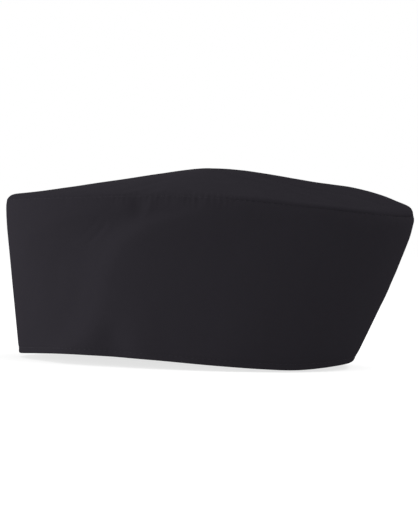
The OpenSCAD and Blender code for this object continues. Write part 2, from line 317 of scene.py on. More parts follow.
# relief along the top of the wall on the left: (y, mm outwards)
SHOULDER = curve([
    (-60, 0), (-45, -0.3), (-34, -0.8), (-26, -0.75), (-14, -0.2), (0, 0.45), (16, 0.95),
    (34, 0.7), (58, 0.2), (80, 0),
])
# the middle of the back draws in towards the rim: mm outwards at each height
BACK_Z = [0, 2, 6.5, 11, 15.5, 24, 33, 42, 51, 60, 69, 80]
BACK_OUT = [-3.1, -2.8, -2.35, -2.1, -1.85, -1.45, -0.95, -0.05, 0.5, 0.5, 0.6, 1.0]
# (height, cell round the wall, cell up it, seed) of the wall's uneven lie
WALL_NOISE = [(0.75, 88, 70, 1), (0.30, 30, 52, 2), (0.09, 11, 20, 3)]


def round_noise(phi, z, cell, z_cell, seed):
    """Noise round the wall that closes on itself; cells in mm."""
    count = max(3, int(round(SEAM_LEN / cell)))
    return noise(arc(phi) / SEAM_LEN * count, z / z_cell + 7.3, seed, count)


def left_relief(y, z):
    """The long fold, two soft hollows and swells near the rim, and the thin creases."""
    behind_fold = (y - np.interp(z, FOLD_Z, FOLD_Y)) * 1.15
    d = (1 - 0.72 * smooth((z - 66) / 20)) * PANEL(behind_fold)
    d = d - 2.1 * bell(y + 49.5, 8.5) * bell(z - 6, 17)
    d = d + 0.45 * bell(y + 32, 9) * bell(z - 10, 26)
    for *line, width, height in CREASES:
        share, across, length = beside_line(y, z, *line)
        bowed = across + 0.12 * length * (share - 0.5) ** 2
        tapered = smooth((share + 0.15) * 3.5) * smooth((1.15 - share) * 3.5)
        d = d + height * bell(bowed, width) * tapered
    return d


def pucker_relief(along, below):
    d = np.zeros_like(below)
    for place, lean, width, length, depth in PUCKERS:
        q = below / length
        grow = (0.3 + 0.7 * smooth(q * 5)) * (1 - np.clip(q, 0, 1)) ** 1.5
        d = d + depth * bell(seam_gap(along - (place + lean * below)), width) * grow
    return d


def needle_relief(along, below, z, left, y):
    """Shallow scallops drawn in by the stitch rows at the seam and the rim."""
    pull = 0.7 + 0.75 * noise(along / 7.0, 3.3, 51) + 0.5 * noise(along / 3.1, 8.1, 52)
    pull = np.maximum(pull, 0.15) * (1 + 1.1 * left * np.exp(-(((y + 19) / 34) ** 4)))
    beat = 2 * np.pi * along / STITCH_PITCH + 1.5 * noise(along / 6.5, 5.7, 53)
    reach = 3.0 + 1.3 * noise(along / 5.0, 1.9, 54)
    d = -0.17 * pull * (0.5 + 0.5 * np.cos(beat)) * bell(below, reach)
    rim_beat = 2 * np.pi * along * RIM_GIRTH / STITCH_PITCH
    d = d - 0.08 * (0.5 + 0.5 * np.cos(rim_beat)) * bell(z - 3.2, 1.6)
    return d - 0.22 * bell(z - 3.2, 1.1)


def wander(phi, s):
    """How far the cloth stands out from its even shape, in mm."""
    rolled = smooth(s - 1)
    z = wall_z(phi, s)
    below = seam_z(phi) - z
    xy = lerp(rim_xy(phi), seam_xy(phi), np.minimum(s, 1)[..., None])
    x, y = xy[..., 0], xy[..., 1]
    left = smooth((x - 8) / 22)
    d = left * left_relief(y, z)
    for height, *cells_and_seed in WALL_NOISE:
        d = d + height * round_noise(phi, z, *cells_and_seed)
    d = d + bell(from_back(phi), 26) * np.interp(z, BACK_Z, BACK_OUT)
    d = d + bell(from_front(phi), 30) * np.interp(z, [0, 40, 70, 80], [1.75, 1.6, 1.35, 1.0])
    d = d * (1 - 0.75 * rolled)
    d = d + left * SHOULDER(y) * smooth((z - 74) / 14)
    along = arc(phi)
    d = d + pucker_relief(along, below) * (1 - 0.5 * rolled)
    return d + needle_relief(along, below, z, left, y)


def wall(phi, s, off=0.0):
    """A point on the wall."""
    phi, s = np.broadcast_arrays(phi, s)
    off = off + wander(phi, s)
    n = outward(phi)
    rim = rim_xy(phi)
    bulge = seam_xy(phi) + ROLL_DEPTH * n
    up = np.clip(s, 0, 1)
    turn = np.radians(np.clip(s - 1, 0, 1) * 90)
    rolled_in = ROLL_DEPTH * (1 - 0.6 * ends(phi)) * (1 - np.cos(turn))
    xy = lerp(rim, bulge, up[..., None]) + (off - rolled_in)[..., None] * n
    z = wall_z(phi, s)
    # soften the corner where the slanting wall meets the roll
    roll_start = seam_z(phi) - roll_h(phi)
    slant = np.einsum("...i,...i->...", bulge - rim, n) / roll_start
    reach = 6.0
    q = (z - roll_start) / reach
    soft = slant * reach * (np.sqrt(q * q + 1) - np.abs(q)) / 2 * (1 - 0.6 * smooth(s - 1))
    xy = xy - soft[..., None] * n
    z = z + (RIM_WAVE(phi) * (1 - up) ** 1.4 + SEAM_WAVE(phi) * up)
    return np.concatenate([xy, z[..., None]], -1)


# ---------------------------------------------------------------- the back slit and its flaps
# The over flap is rooted on the wearer's left and laps outside the under flap, rooted on the
# right. "root" is where a flap joins the wall and "edge" is its straight free edge.
ROOT_S = [0, SLIT, 0.935]


def over_root(s):
    return np.interp(s, ROOT_S, [170.0, 184.0, SLIT_PHI - 0.02])


def under_root(s):
    return np.interp(s, ROOT_S, [200.0, 182.0, SLIT_PHI + 0.02])


def over_edge(s):
    return lerp(213.0, 187.0, np.asarray(s) / SLIT)


def under_edge(s):
    return lerp(152.0, 178.0, np.asarray(s) / SLIT)


def tip_round(s):
    """The free edges curve in to the end of the slit."""
    q = np.clip((np.asarray(s) - 0.74) / 0.16, 0, 1)
    return np.sqrt(np.clip(1 - q**2, 0, 1)) * 0.93 + 0.07


def over_tip(s):
    return lerp(over_root(s), over_edge(s), tip_round(s))


def under_tip(s):
    return lerp(under_root(s), under_edge(s), tip_round(s))


def parted(s):
    """The flaps stand apart where the tapes lie and close up towards the end of the slit."""
    return (1 - 0.48 * smooth((s - 0.42) / 0.2)) * (1 - smooth((s - 0.86) / 0.14))


def lift(phi, s):
    return OUTSTEP * smooth((phi - over_root(np.minimum(s, SLIT)) + 24) / 16) * parted(s)


def press(phi, s):
    margin = 1.4 + 3.8 * smooth((s - 0.42) / 0.2)
    return -INSTEP * smooth((over_edge(np.minimum(s, SLIT)) + margin - phi) / 8) * parted(s)


def lap(which, phi, s):
    if which == "over":
        return lift(phi, s)
    if which == "under":
        return press(phi, s)
    return np.where(phi > 60, lift(phi, s), np.where(phi < -60, press(phi + 360, s), 0.0))


def surf(which, phi, s, off=0.0):
    """A point on the "main" wall or on the "over" or "under" flap."""
    return wall(phi, s, off + lap(which, phi, s))


def surf_normal(which, phi, s, off=0.0):
    a = surf(which, phi + 0.3, s, off) - surf(which, phi - 0.3, s, off)
    b = surf(which, phi, s + 0.004, off) - surf(which, phi, s - 0.004, off)
    n = np.cross(a, b)
    return n / np.linalg.norm(n, axis=-1, keepdims=True)


def panel_sides(which):
    """Angles of the first and last column of a panel, as functions of s."""
    return {
        "main": (lambda s: under_root(s) - 360, over_root),
        "over": (over_root, over_tip),
        "under": (under_tip, under_root),
    }[which]


# ---------------------------------------------------------------- mesh helpers
NO_TRIS = np.zeros((0, 3), np.int64)
# which of a sheet's two opposite edges are rounded
NEITHER, FIRST, LAST, BOTH = (False, False), (True, False), (False, True), (True, True)


def signed_volume(corners):
    first = corners[:, 0]
    return sum(
        np.einsum("ij,ij->", first, np.cross(corners[:, i], corners[:, i + 1]))
        for i in range(1, corners.shape[1] - 1)
    )


def make_mesh(name, verts_mm, uv, mat, quads, tris=NO_TRIS, flat=None):
    """A closed mesh with its faces turned outwards; `flat` marks faces shaded flat."""
    verts = verts_mm * MM
    if signed_volume(verts[quads]) + signed_volume(verts[tris]) < 0:
        quads, tris = quads[:, ::-1], tris[:, ::-1]
    loops = np.concatenate([quads.ravel(), tris.ravel()]).astype(np.int32)
    starts = np.concatenate([
        np.arange(len(quads)) * 4, len(quads) * 4 + np.arange(len(tris)) * 3,
    ]).astype(np.int32)
    me = bpy.data.meshes.new(name)
    me.vertices.add(len(verts))
    me.vertices.foreach_set("co", verts.astype(np.float32).ravel())
    me.loops.add(len(loops))
    me.loops.foreach_set("vertex_index", loops)
    me.polygons.add(len(starts))
    me.polygons.foreach_set("loop_start", starts)
    me.polygons.foreach_set("use_smooth", np.ones(len(starts), bool) if flat is None else ~flat)
    layer = me.uv_layers.new(name="UVMap")
    layer.data.foreach_set("uv", uv.astype(np.float32)[loops].ravel())
    me.update(calc_edges=True)
    me.validate()
    ob = bpy.data.objects.new(name, me)
    bpy.context.scene.collection.objects.link(ob)
    me.materials.append(mat)
    return ob


def flat_uv(across, up):
    return np.stack([across, np.full_like(across, up)], 1)


def grid(rows):
    """Mid points and UVs of a cloth from its (points, uv) rows."""
    points, uvs = zip(*rows)
    return np.stack(points, 1), np.stack(uvs, 1)


def edge_rounding(points, thick, at_end):
    """Share of full thickness on each grid row, rounded off at one end."""
    points = points[::-1] if at_end else points
    q = np.clip(path_length(points[:8]) / (thick / 2), 0, 1)
    share = np.ones(points.shape[:2])
    share[: len(q)] = np.sqrt(np.clip(1 - (1 - q) ** 2, 0.02, 1))
    return share[::-1] if at_end else share


def sheet(name, cloth_grid, thick, mat, close_u=False, round_u=NEITHER, round_v=NEITHER):
    """A cloth of even thickness about a grid of mid points."""
    mid, uv = cloth_grid
    n, m = mid.shape[:2]
    if close_u:
        du = np.roll(mid, -1, 0) - np.roll(mid, 1, 0)
    else:
        du = np.gradient(mid, axis=0)
    normal = unit(np.cross(du, np.gradient(mid, axis=1)))
    half = np.full((n, m), thick / 2.0)
    for at_end in (False, True):
        if round_u[at_end]:
            half = half * edge_rounding(mid, thick, at_end)
    for at_end in (False, True):
        if round_v[at_end]:
            half = half * edge_rounding(mid.transpose(1, 0, 2), thick, at_end).T
    top = mid + normal * half[..., None]
    low = mid - normal * half[..., None]
    verts = np.concatenate([top.reshape(-1, 3), low.reshape(-1, 3)])

    k = n * m  # a low vertex is numbered k after the top one
    idx = np.arange(k).reshape(n, m)
    cur = idx if close_u else idx[:-1]
    nxt = np.roll(idx, -1, 0) if close_u else idx[1:]
    a, b = cur[:, :-1].ravel(), nxt[:, :-1].ravel()
    c, d = nxt[:, 1:].ravel(), cur[:, 1:].ravel()

    def side(e0, e1):
        return np.stack([e0, e1, e1 + k, e0 + k], 1)

    # each group of faces, with whether it is a cut edge shaded flat
    groups = [
        (np.stack([a, b, c, d], 1), False),
        (np.stack([a + k, d + k, c + k, b + k], 1), False),
        (side(cur[:, 0], nxt[:, 0])[:, [0, 3, 2, 1]], not round_v[0]),
        (side(cur[:, -1], nxt[:, -1]), not round_v[1]),
    ]
    if not close_u:
        groups += [
            (side(idx[0, :-1], idx[0, 1:]), not round_u[0]),
            (side(idx[-1, :-1], idx[-1, 1:])[:, [0, 3, 2, 1]], not round_u[1]),
        ]
    flat = np.concatenate([np.full(len(quads), cut) for quads, cut in groups])
    quads = np.concatenate([quads for quads, _ in groups])
    uvs = np.concatenate([uv.reshape(-1, 2)] * 2)
    return make_mesh(name, verts, uvs, mat, quads, flat=flat)


def tubes(name, paths, radius, mat, sides=8, taper=True):
    """Rounded threads: paths is (count, k, 3) in mm; all share one mesh."""
    p = np.asarray(paths, float)
    count, k = p.shape[:2]
    tangent = unit(np.gradient(p, axis=1))
    steep = np.abs(tangent[:, k // 2, 2]) >= 0.8
    ref = np.where(steep[:, None], np.array([1.0, 0, 0]), np.array([0, 0, 1.0]))[:, None, :]
    n1 = unit(np.cross(tangent, ref))
    n2 = np.cross(tangent, n1)
    swell = np.ones(k)
    if taper:
        swell[0] = swell[-1] = 0.55
    turn = (np.arange(sides) * 2 * np.pi / sides)[:, None]
    spokes = np.cos(turn) * n1[:, :, None, :] + np.sin(turn) * n2[:, :, None, :]
    rings = p[:, :, None, :] + radius * swell[None, :, None, None] * spokes
    around = np.arange(sides) / sides * 2 * np.pi * radius
    uv = np.stack([
        np.repeat(path_length(p, axis=1)[:, :, None], sides, 2),
        np.broadcast_to(around, (count, k, sides)),
    ], -1)
    # each thread ends with the middle points of its two end caps
    verts = np.concatenate([rings.reshape(count, -1, 3), p[:, [0, -1]]], 1).reshape(-1, 3)
    uvs = np.concatenate([uv.reshape(count, -1, 2), np.zeros((count, 2, 2))], 1)
    i, j = np.meshgrid(np.arange(k - 1), np.arange(sides), indexing="ij")
    a, b = i * sides + j, i * sides + (j + 1) % sides
    quad = np.stack([a, b, b + sides, a + sides], -1).reshape(-1, 4)
    j = np.arange(sides)
    after = (j + 1) % sides
    last = (k - 1) * sides
    tri = np.concatenate([
        np.stack([np.full(sides, k * sides), after, j], 1),
        np.stack([np.full(sides, k * sides + 1), last + j, last + after], 1),
    ])
    base = (np.arange(count) * (k * sides + 2))[:, None, None]
    quads = (quad[None] + base).reshape(-1, 4)
    tris = (tri[None] + base).reshape(-1, 3)
    return make_mesh(name, verts, uvs.reshape(-1, 2), mat, quads, tris)


def stitches(name, points, normals, mat):
    """A row of stitches lying along surface points with outward normals."""
    length, radius, slant = 2.15, 0.16, 0.12
    sink, proud = 0.3, 0.4  # depth of the ends in mm, height of the middle in radii
    run = path_length(points)
    count = max(1, int(run[-1] // STITCH_PITCH))
    rng = np.random.RandomState(len(points) + count)
    mid = (np.arange(count) + 0.5) * (run[-1] / count) + rng.uniform(-0.06, 0.06, count)
    q = np.linspace(-0.5, 0.5, 9)
    at = np.clip(mid[:, None] + q * length, 0, run[-1])
    p = np.stack([np.interp(at, run, points[:, i]) for i in range(3)], -1)
    n = unit(np.stack([np.interp(at, run, normals[:, i]) for i in range(3)], -1))
    height = -sink + (sink + radius * proud) * np.abs(np.cos(np.pi * q)) ** 0.45
    side = unit(np.cross(n[:, 4], p[:, -1] - p[:, 0]))
    shift = q[None, :] * slant + rng.uniform(-0.04, 0.04, (count, 1))
    paths = p + n * height[None, :, None] + side[:, None, :] * shift[..., None]
    return tubes(name, paths, radius, mat)


# ---------------------------------------------------------------- materials
class Shader:
    """A material with one Principled surface, and short ways to add nodes to it."""

    def __init__(self, name):
        self.material = bpy.data.materials.new(name)
        self.material.use_nodes = True
        self.tree = self.material.node_tree
        self.tree.nodes.clear()
        output = self.new("ShaderNodeOutputMaterial")
        self.surface = self.new("ShaderNodeBsdfPrincipled")
        self.link(self.surface.outputs[0], output.inputs[0])

    def new(self, kind, **props):
        node = self.tree.nodes.new(kind)
        for key, value in props.items():
            setattr(node, key, value)
        return node

    def link(self, a, b):
        self.tree.links.new(a, b)

    def put(self, node, values):
        """Sets or links a node's inputs from a table of name (or index) to value."""
        for key, value in values.items():
            if hasattr(value, "links"):
                self.link(value, node.inputs[key])
            else:
                node.inputs[key].default_value = value

    def uv(self):
        return self.new("ShaderNodeUVMap", uv_map="UVMap").outputs[0]

    def math(self, operation, a, b, clamp=False):
        node = self.new("ShaderNodeMath", operation=operation, use_clamp=clamp)
        self.put(node, {0: a, 1: b})
        return node.outputs[0]

    def add(self, a, b, clamp=False):
        return self.math("ADD", a, b, clamp)

    def times(self, a, b, clamp=False):
        return self.math("MULTIPLY", a, b, clamp)

    def swing(self, value, amount):
        """A 0..1 value turned into a swing about zero."""
        return self.times(self.math("SUBTRACT", value, 0.5), amount)

    def vector_math(self, operation, values):
        node = self.new("ShaderNodeVectorMath", operation=operation)
        self.put(node, values)
        return node.outputs[0]

    def noise(self, vec, scale, detail=2.0, rough=0.5, output="Fac"):
        node = self.new("ShaderNodeTexNoise")
        self.put(node, {"Vector": vec, "Scale": scale, "Detail": detail, "Roughness": rough})
        return node.outputs[output]

    def wave(self, vec, period, angle, distortion=0.0):
        """Sine bands with a period in mm, turned by an angle in degrees."""
        turned = self.new("ShaderNodeMapping")
        self.put(turned, {"Vector": vec, "Rotation": (0, 0, math.radians(angle))})
        node = self.new(
            "ShaderNodeTexWave", wave_type="BANDS", bands_direction="X", wave_profile="SIN"
        )
        self.put(node, {
            "Vector": turned.outputs[0],
            "Scale": 2 * math.pi / (20 * period),
            "Distortion": distortion,
            "Detail": 1.0,
            "Detail Scale": 1.5,
        })
        return node.outputs["Fac"]

    def mix(self, factor, a, b):
        node = self.new("ShaderNodeMix", data_type="RGBA")
        self.put(node, {"Factor": factor, "A": a, "B": b})
        return node.outputs["Result"]

    def bump(self, height, distance_mm):
        node = self.new("ShaderNodeBump")
        self.put(node, {"Distance": distance_mm * MM, "Height": height})
        self.put(self.surface, {"Normal": node.outputs[0]})


def tone(color, strength):
    return (*(c * strength for c in color), 1.0)


def cloth(name, base, rib_angle=58.0, yarn=0.33, relief=0.045, rough=0.9, sheen=0.006,
          contrast=0.22, fuzz=0.05, spec=0.0, plain=False):
    """Woven cloth in mm of the UV map: diagonal twill ribs, or plain ones, over single yarns."""
    rib, blotch = 0.66, 0.10  # rib period in mm; strength of the large uneven shading
    g = Shader(name)
    uv = g.uv()
    place = g.new("ShaderNodeTexCoord").outputs["Object"]
    # yarns wander a little
    wobble = g.noise(uv, 0.22, 3.0, output="Color")
    wobble = g.vector_math("SUBTRACT", {0: wobble, 1: (0.5, 0.5, 0.5)})
    wobble = g.vector_math("SCALE", {0: wobble, "Scale": 0.5})
    vec = g.vector_math("ADD", {0: uv, 1: wobble})
    ribs = g.wave(vec, yarn, 90.0, 0.1) if plain else g.wave(vec, rib, rib_angle, 0.12)
    warp = g.wave(vec, yarn, 0.0, 0.1)
    weft = g.wave(vec, yarn * 1.12, 90.0, 0.1)
    yarns = g.times(warp, weft)
    height = g.add(g.times(ribs, 0.6), g.times(yarns, 0.4))
    slub = g.noise(uv, 0.9)
    fine = g.noise(uv, 9.0, 3.0, 0.7)
    height = g.add(height, g.times(fine, fuzz * 4))
    height = g.add(height, g.times(slub, 0.18))
    broad = g.noise(place, 22.0, 3.0, 0.55)
    mottle = g.noise(place, 140.0)
    shade = g.add(g.swing(broad, blotch * 2), g.swing(mottle, blotch))
    factor = g.add(g.swing(height, 1.0), g.add(shade, 0.5), clamp=True)
    color = g.mix(factor, tone(base, 1 - contrast), tone(base, 1 + contrast))
    # a few pale fibres of lint
    lint = g.noise(uv, 3.1, 6.0, 0.8)
    spots = g.times(g.math("SUBTRACT", lint, 0.70), 3.0, clamp=True)
    color = g.mix(g.times(spots, fuzz), color, (0.16, 0.16, 0.17, 1))
    g.put(g.surface, {
        "Base Color": color,
        "Roughness": g.add(g.swing(fine, 0.12), rough, clamp=True),
        "Specular IOR Level": spec,
        "Sheen Weight": sheen,
        "Sheen Roughness": 0.45,
        "Sheen Tint": (0.75, 0.72, 0.82, 1),
    })
    g.bump(height, relief)
    return g.material


def thread_mat(name, base, sheen=0.15, rough=0.5, spec=0.3):
    """Twisted sewing thread: the ply runs slantwise round it."""
    g = Shader(name)
    uv = g.uv()
    ply = g.wave(uv, period=0.5, angle=40.0)
    fibres = g.noise(uv, 12.0)
    height = g.add(g.times(ply, 0.8), g.times(fibres, 0.2))
    g.put(g.surface, {
        "Base Color": g.mix(height, tone(base, 0.65), tone(base, 1.35)),
        "Roughness": g.add(g.times(fibres, 0.15), rough - 0.07),
        "Specular IOR Level": spec,
        "Sheen Weight": sheen,
    })
    g.bump(height, 0.05)
    return g.material


def nonwoven_mat(name, base):
    """Pressed fibres with a faint bonded dot grid."""
    g = Shader(name)
    uv = g.uv()
    fibres = g.noise(uv, 2.2, 8.0, 0.75)
    dots = g.new("ShaderNodeTexVoronoi", feature="F1")
    g.put(dots, {"Vector": uv, "Scale": 0.8, "Randomness": 0.1})
    height = g.add(fibres, g.times(dots.outputs["Distance"], 0.3))
    g.put(g.surface, {
        "Base Color": g.mix(height, tone(base, 0.8), tone(base, 1.15)),
        "Roughness": 0.9,
    })
    g.bump(height, 0.05)
    return g.material


TWILL_MAT = cloth("twill", (0.01345, 0.01235, 0.0152))
LINING_MAT = cloth("lining", (0.0175, 0.0165, 0.0195), rib_angle=-58.0, sheen=0.02)
BAND_MAT = cloth("band", (0.031, 0.0295, 0.0325), plain=True, yarn=0.4, relief=0.05, sheen=0.02)
STIFF_MAT = nonwoven_mat("stiffener", (0.06, 0.06, 0.064))
THREAD_MAT = thread_mat("thread", (0.0175, 0.0159, 0.0201), sheen=0.02, rough=0.7, spec=0.02)
# the bar tack's thread is the sewing thread painted darker: painted shade for a tack that stands
# proud and catches more light
TACK_PAINTED_SHADE_MAT = thread_mat("tack_thread_painted_shade", (0.0135, 0.0123, 0.0155), sheen=0.0, rough=0.8, spec=0.0)
TAPE_MAT = cloth("tape_ground", (0.0135, 0.0132, 0.015), plain=True, yarn=0.5, relief=0.05,
                 sheen=0.02, rough=0.75, spec=0.12, contrast=0.15)
HOOK_MAT = thread_mat("hook_nylon", (0.015, 0.0148, 0.0168), rough=0.45, sheen=0.0, spec=0.12)
LOOP_MAT = thread_mat("loop_nylon", (0.018, 0.0175, 0.0198), rough=0.7, sheen=0.06, spec=0.08)
LABEL_MAT = cloth("label_satin", (0.62, 0.61, 0.58), plain=True, yarn=0.28, relief=0.02,
                  sheen=0.3, rough=0.45, spec=0.4, contrast=0.06, fuzz=0.0)
LABEL_THREAD_MAT = thread_mat("label_thread", (0.5, 0.49, 0.47))


# ---------------------------------------------------------------- riding on the frame
def hinge_of(which):
    """A point on a flap's root line, and the way from there to its free edge."""
    if which == "over":
        root, edge = over_root, over_edge
    else:
        root, edge = under_root, under_edge
    low = surf(which, root(0.0), 0.0)
    high = surf(which, root(0.88), 0.88)
    free = surf(which, edge(0.35), 0.35)
    line = (high - low) / np.linalg.norm(high - low)
    way = (free - low) - np.dot(free - low, line) * line
    # keep the way in the cloth at the root, not across the curve of the head
    point = surf(which, root(0.35), 0.35)
    n = surf_normal(which, root(0.35), 0.35)
    way = way - np.dot(way, n) * n
    return point, way / np.linalg.norm(way)


HINGE = {which: hinge_of(which) for which in ("over", "under")}


def mount(ob, which, node=None):
    """Fixes a piece to the cap, or leaves a flap's piece where it lies, and hides the part it
    stands for.
    """
    if which == "main":
        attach(ob, "cap")
    else:
        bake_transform(ob)
    if node:
        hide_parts(node)


# ---------------------------------------------------------------- outer cloth
# s of the rows over the rolled top
ROLL_ROWS = (2.0, 1.93, 1.84, 1.74, 1.63, 1.52, 1.4, 1.28, 1.16, 1.06)
HEM_RADIUS = 0.72
MM_PER_DEGREE = 1.7  # round the back of the cap


def wall_rows(top):
    """s from the top down to the rim, closer together near the top and the rim."""
    top_z = top * WALL_H
    heights = []
    z = 1.6
    while z < top_z:
        heights.append(z)
        z += 0.55 if z < 6 else (0.8 if top_z - z < 26 else 1.5)
    return np.array([*heights, top_z][::-1]) / WALL_H


def edge_tuck(which, lo, hi, phi):
    """The free edge of a flap is turned under and closes over the lining."""
    if which == "main":
        return 0.0
    from_edge = np.abs(hi - phi if which == "over" else phi - lo) * MM_PER_DEGREE
    room = float(smooth((hi - lo) * MM_PER_DEGREE / 8))
    return -0.85 * (1 - smooth(from_edge / 2.2)) * room


def cloth_arc(phi, s):
    return arc(phi) * (RIM_GIRTH + (1 - RIM_GIRTH) * s)


def outer_grid(which, u, rows):
    """Outer cloth for columns u (0..1), with the hem turned under at the rim."""
    first, last = panel_sides(which)
    mid = -TWILL / 2
    made = []
    for s in rows:
        low_s = min(s, 1.0)
        lo, hi = first(low_s), last(low_s)
        phi = lerp(lo, hi, u)
        points = surf(which, phi, s, mid + edge_tuck(which, lo, hi, phi))
        up = low_s * WALL_H + max(s - 1, 0) * 7.0
        made.append((points, flat_uv(cloth_arc(phi, low_s), up)))
    # the hem: a half turn under, then up inside
    lo, hi = first(0.0), last(0.0)
    phi = lerp(lo, hi, u)
    tuck = edge_tuck(which, lo, hi, phi)
    for turn in np.radians(np.linspace(0, 180, 11)[1:]):
        in_by = HEM_RADIUS - HEM_RADIUS * math.cos(turn)
        points = surf(which, phi, 0.012, mid - in_by + tuck)
        points[:, 2] += 0.10 - HEM_RADIUS * math.sin(turn)
        made.append((points, flat_uv(cloth_arc(phi, 0.0), -HEM_RADIUS * turn)))
    for z in (2.2, 4.0, 6.5):
        s = z / WALL_H
        phi = lerp(first(s), last(s), u)
        points = surf(which, phi, s, mid - 2 * HEM_RADIUS + tuck)
        made.append((points, flat_uv(cloth_arc(phi, 0.0), -3.2 - z)))
    return grid(made)


main_grid = outer_grid("main", np.linspace(0, 1, 841), [*ROLL_ROWS, *wall_rows(1.0)])
side_wall = sheet("side_wall_cloth", main_grid, TWILL, TWILL_MAT)
mount(side_wall, "main", "side_wall")

# flap columns, with fine steps at the free edge
UNDER_U = np.concatenate([[0.0, 0.0006, 0.002, 0.005, 0.012], np.linspace(0, 1, 66)[1:]])
OVER_U = 1 - UNDER_U[::-1]
for which, u, rounded in (("over", OVER_U, LAST), ("under", UNDER_U, FIRST)):
    flap = sheet(f"{which}_flap_cloth", outer_grid(which, u, wall_rows(SLIT)), TWILL, TWILL_MAT,
                 round_u=rounded, round_v=FIRST)
    mount(flap, which, f"{which}_flap")


# ---------------------------------------------------------------- interlinings and linings
def inner_rows(top, count):
    """s from the top down, with finer rows above the rim."""
    return np.concatenate([np.linspace(top, 0.1, count), np.linspace(0.1, 0.015, 9)[1:]])


def near_rim(z):
    """Weight that clears the turned-up hem."""
    return 1 - smooth((z - 6) / 6)


def inner_grid(which, u, rows, off, low, shrink):
    """low draws the cloth in at the rim; shrink (degrees) holds it back from a free edge."""
    first, last = panel_sides(which)
    made = []
    for s in rows:
        lo, hi = first(s), last(s)
        held_back = min(shrink, 0.6 * (hi - lo))
        if which == "over":
            hi = hi - held_back
        if which == "under":
            lo = lo + held_back
        phi = lerp(lo, hi, u)
        z = s * WALL_H
        points = surf(which, phi, s, off - low * float(near_rim(z)))
        made.append((points, flat_uv(cloth_arc(phi, s), z)))
    return grid(made)


def interlining(name, which, u, rows, off, thick, node, shrink=0.0):
    made = inner_grid(which, u, rows, off, 0.0, shrink)
    mount(sheet(name, made, thick, STIFF_MAT), which, node)


def lining(name, which, u, rows, off, low, thick, node, shrink=0.0, **rounded):
    made = inner_grid(which, u, rows, off, low, shrink)
    mount(sheet(name, made, thick, LINING_MAT, **rounded), which, node)


MAIN_IN = dict(which="main", u=np.linspace(0.0004, 0.9996, 481), rows=inner_rows(0.968, 62))
FLAP_IN = dict(rows=inner_rows(SLIT - 0.006, 52), shrink=1.3)
FLAP_U = np.linspace(0, 1, 61)
interlining("wall_interlining", **MAIN_IN, off=-0.85, thick=0.28, node="wall_stiffener")
lining("wall_lining_cloth", **MAIN_IN, off=-1.42, low=0.95, thick=0.55, node="wall_lining",
       round_v=LAST)
interlining("over_flap_interlining", "over", lerp(0.02, 0.9, FLAP_U), **FLAP_IN, off=-0.80,
            thick=0.16, node="over_flap_stiffener")
lining("over_flap_lining_cloth", "over", FLAP_U, **FLAP_IN, off=-1.24, low=0.55, thick=0.5,
       node="over_flap_lining", round_u=LAST, round_v=BOTH)
lining("under_flap_lining_cloth", "under", FLAP_U, **FLAP_IN, off=-1.0, low=0.75, thick=0.55,
       node="under_flap_lining", round_u=FIRST, round_v=BOTH)

# ---------------------------------------------------------------- sweatband
BAND_PHI, BAND_H, BAND_THICK = 144.0, 32.0, 0.95  # it runs from -BAND_PHI to BAND_PHI
BAND_OFF = -2.62


def band_points(phi, z, off):
    flare = float(smooth((z - 22) / 10)) * (1 + noise(arc(phi) / 14.0, 0.5, 21))
    return surf("main", phi, z / WALL_H, off - 0.75 * float(near_rim(z)) - 0.35 * flare)


band_phi = np.linspace(-BAND_PHI, BAND_PHI, 401)
band_z = np.concatenate([
    [1.5, 1.7, 2.1, 2.8], np.linspace(4, BAND_H - 1.2, 20), [BAND_H - 0.6, BAND_H - 0.2, BAND_H],
])
band_grid = grid([
    (band_points(band_phi, z, BAND_OFF), flat_uv(arc(band_phi) * LOW_GIRTH, z)) for z in band_z
])
band = sheet("sweatband_cloth", band_grid, BAND_THICK, BAND_MAT, round_u=BOTH, round_v=BOTH)
mount(band, "main", "sweatband")

row_phi = np.linspace(-BAND_PHI + 1.0, BAND_PHI - 1.0, 900)
for level, z in (("low", 3.4), ("top", BAND_H - 2.5)):
    points = band_points(row_phi, z, BAND_OFF - BAND_THICK / 2)
    normals = -surf_normal("main", row_phi, z / WALL_H)
    band_row = stitches(f"sweatband_stitches_{level}", points, normals, THREAD_MAT)
    mount(band_row, "main", "sweatband_stitching")

# ---------------------------------------------------------------- crown tip
TIP_CENTRE = np.array([0.0, -1.2])
TIP_STEPS = 190
TIP_EDGE_LIFT = 0.45  # mm above the seam at the tip's edge

# the seam's bearing and distance seen from the tip's centre, against phi
TIP_PHI = np.linspace(0, 360, 1441)
tip_to_seam = seam_xy(TIP_PHI) - TIP_CENTRE
TIP_BEARING = np.unwrap(np.arctan2(tip_to_seam[:, 0], -tip_to_seam[:, 1]))
TIP_RADIUS = np.linalg.norm(tip_to_seam, axis=1)

# long soft folds on the crown: (x0, y0) to (x1, y1), half width, height
TIP_FOLDS = [
    (12, 8, 61, 80, 2.8, 1.3), (22, 4, 70, 68, 3.2, -0.8), (15, 14, 24, 106, 3.0, 1.1),
    (27, 20, 37, 100, 3.2, -0.8), (46, 2, 80, 36, 3.5, 0.5), (4, 18, 4, 104, 4.5, -0.5),
    (-14, 6, -48, 88, 5.0, 0.8), (-36, 0, -76, 56, 4.5, -0.6), (-26, -14, -70, -60, 5.0, 0.5),
    (24, -22, 60, -80, 5.0, 0.35), (4, -20, 12, -96, 6.0, 0.4), (-6, -18, -26, -92, 5.0, -0.5),
    (40, -18, 74, -52, 4.0, -0.35),
]


def seam_toward(dx, dy):
    """Bearing from the tip's centre, and the seam's phi and distance that way."""
    bearing = np.mod(np.arctan2(dx, -dy), 2 * np.pi)
    phi = np.interp(bearing, TIP_BEARING, TIP_PHI)
    return bearing, phi, np.interp(bearing, TIP_BEARING, TIP_RADIUS)


